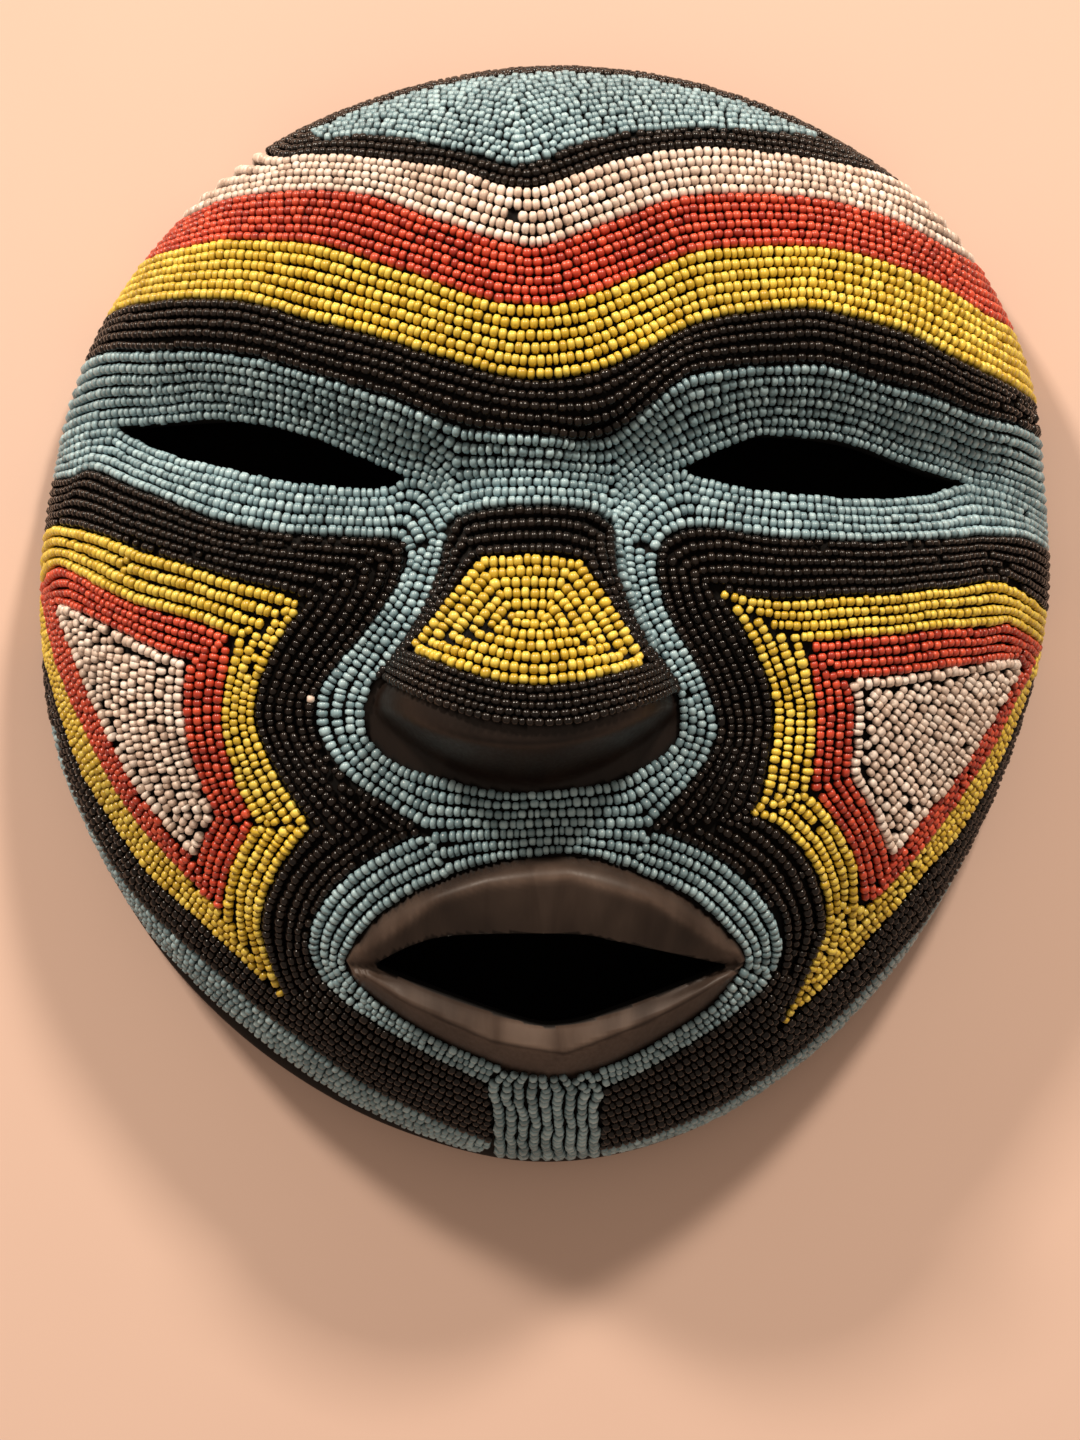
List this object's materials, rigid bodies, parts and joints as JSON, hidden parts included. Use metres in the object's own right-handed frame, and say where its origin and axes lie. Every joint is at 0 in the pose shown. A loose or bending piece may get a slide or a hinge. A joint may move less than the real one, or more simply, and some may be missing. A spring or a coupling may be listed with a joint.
{
  "type": "tribal mask",
  "caption": "Hollow carved wooden face mask with eye slits, open mouth and protruding nose and lips, its front covered with rows of coloured glass beads.",
  "frame": {"origin": "centre of the bounding box on the plane the rim lies on", "axes": "+Z the way the face looks, +Y to the crown, +X to the viewer's right when looking at the face"},
  "size_m": [0.2796, 0.3046, 0.1072],
  "materials": {
    "dark_wood": "dark stained, softly worn",
    "blue_beads": "opaque grey-blue glass seed beads, satin",
    "black_beads": "opaque black glass seed beads, glossy",
    "white_beads": "opaque off-white glass seed beads, satin",
    "red_beads": "opaque brick-red glass seed beads, satin",
    "yellow_beads": "opaque ochre-yellow glass seed beads, satin"
  },
  "bodies": {
    "root": {"wood_mask": "dark_wood", "crown_blue_beads": "blue_beads", "crown_black_beads": "black_beads", "forehead_white_beads": "white_beads", "forehead_red_beads": "red_beads", "forehead_yellow_beads": "yellow_beads", "forehead_black_beads": "black_beads", "upper_lid_blue_beads": "blue_beads", "lower_lid_blue_beads_left": "blue_beads", "lower_lid_blue_beads_right": "blue_beads", "nose_black_beads": "black_beads", "nose_yellow_beads": "yellow_beads", "nose_band_black_beads": "black_beads", "mouth_ring_blue_beads": "blue_beads", "chin_blue_beads": "blue_beads", "jaw_blue_beads_left": "blue_beads", "jaw_blue_beads_right": "blue_beads", "cheek_black_beads_left": "black_beads", "cheek_yellow_beads_left": "yellow_beads", "cheek_red_beads_left": "red_beads", "cheek_white_beads_left": "white_beads", "cheek_black_beads_right": "black_beads", "cheek_yellow_beads_right": "yellow_beads", "cheek_red_beads_right": "red_beads", "cheek_white_beads_right": "white_beads"}
  },
  "joints": []
}
